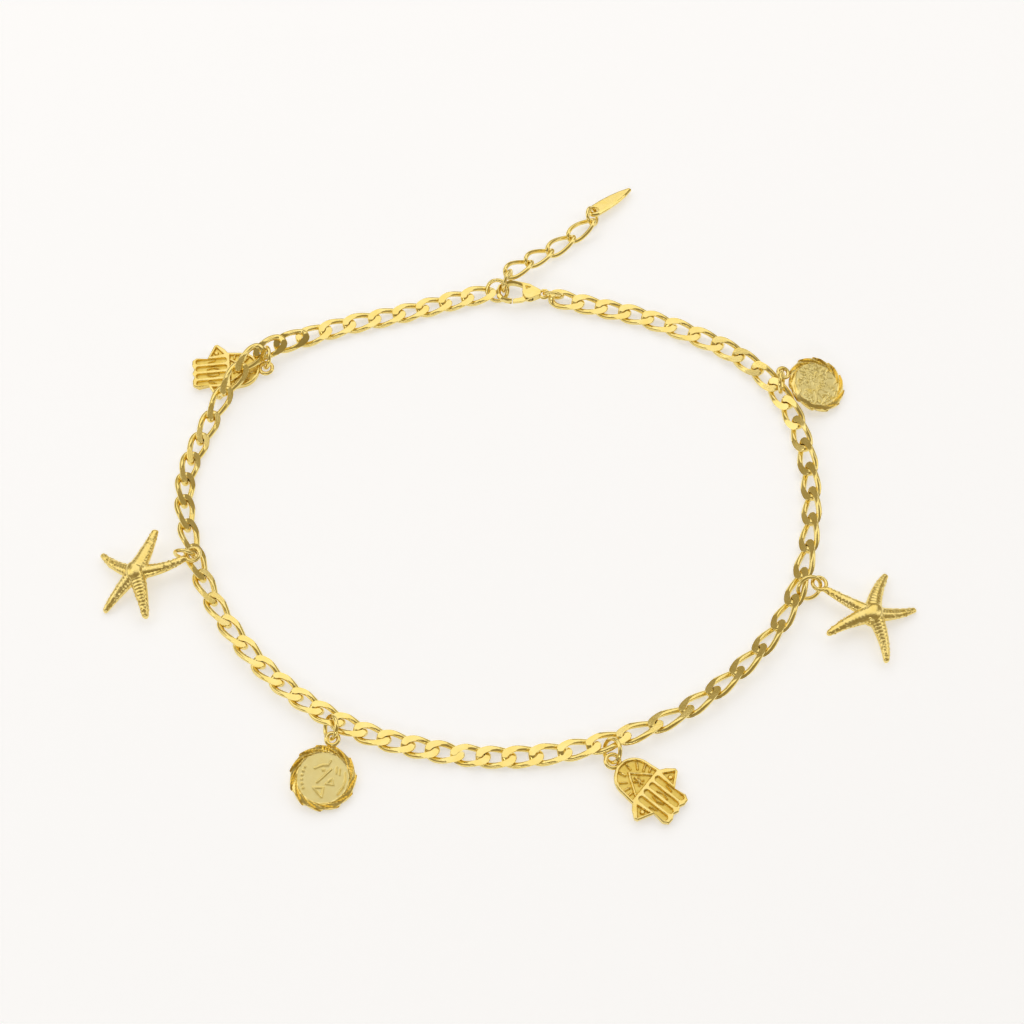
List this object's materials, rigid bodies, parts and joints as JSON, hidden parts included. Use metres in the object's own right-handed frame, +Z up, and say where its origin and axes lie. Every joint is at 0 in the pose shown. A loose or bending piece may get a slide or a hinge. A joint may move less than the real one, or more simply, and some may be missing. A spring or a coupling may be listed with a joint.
{
  "type": "charm anklet",
  "caption": "Gold charm anklet: a curb chain closed by a lobster clasp, with hanging starfish, coins and hamsa hands and a short extender with a pointed tag.",
  "frame": {"origin": "middle of the underside of the whole anklet's box, on the surface that it lies on", "axes": "+Z up; +Y towards the clasp, across the loop; +X to the right in the picture, along the anklet's longest side"},
  "size_m": [0.1114, 0.1016, 0.0045],
  "materials": {
    "gold_polished": "polished gold plate",
    "gold_cast": "cast gold plate, satin in the recesses"
  },
  "bodies": {
    "anklet": {"chain_left": "gold_polished", "chain_right": "gold_polished", "ring_hamsa_left": "gold_polished", "ring_starfish_left": "gold_polished", "ring_coin_left": "gold_polished", "ring_hamsa_right": "gold_polished", "ring_starfish_right": "gold_polished", "ring_coin_right": "gold_polished", "ring_end": "gold_polished", "ring_extender": "gold_polished", "ring_clasp": "gold_polished", "ring_tag": "gold_polished", "starfish_left": "gold_cast", "starfish_right": "gold_cast", "coin_left": "gold_cast", "coin_right": "gold_cast", "hamsa_left": "gold_cast", "hamsa_right": "gold_cast", "extender_link_1": "gold_polished", "extender_link_2": "gold_polished", "extender_link_3": "gold_polished", "extender_link_4": "gold_polished", "tag": "gold_polished", "clasp_body": "gold_polished"},
    "clasp_lever": {"clasp_lever": "gold_polished"}
  },
  "joints": [
    {"name": "clasp_lever_hinge", "type": "hinge", "parent": "anklet", "child": "clasp_lever", "pos_m": [0.00354, 0.02995, 0.00159], "axis": [0.0274, -0.0413, -0.9988], "range_deg": [0, 20], "stiffness_Nm_per_rad": 0.0005}
  ]
}
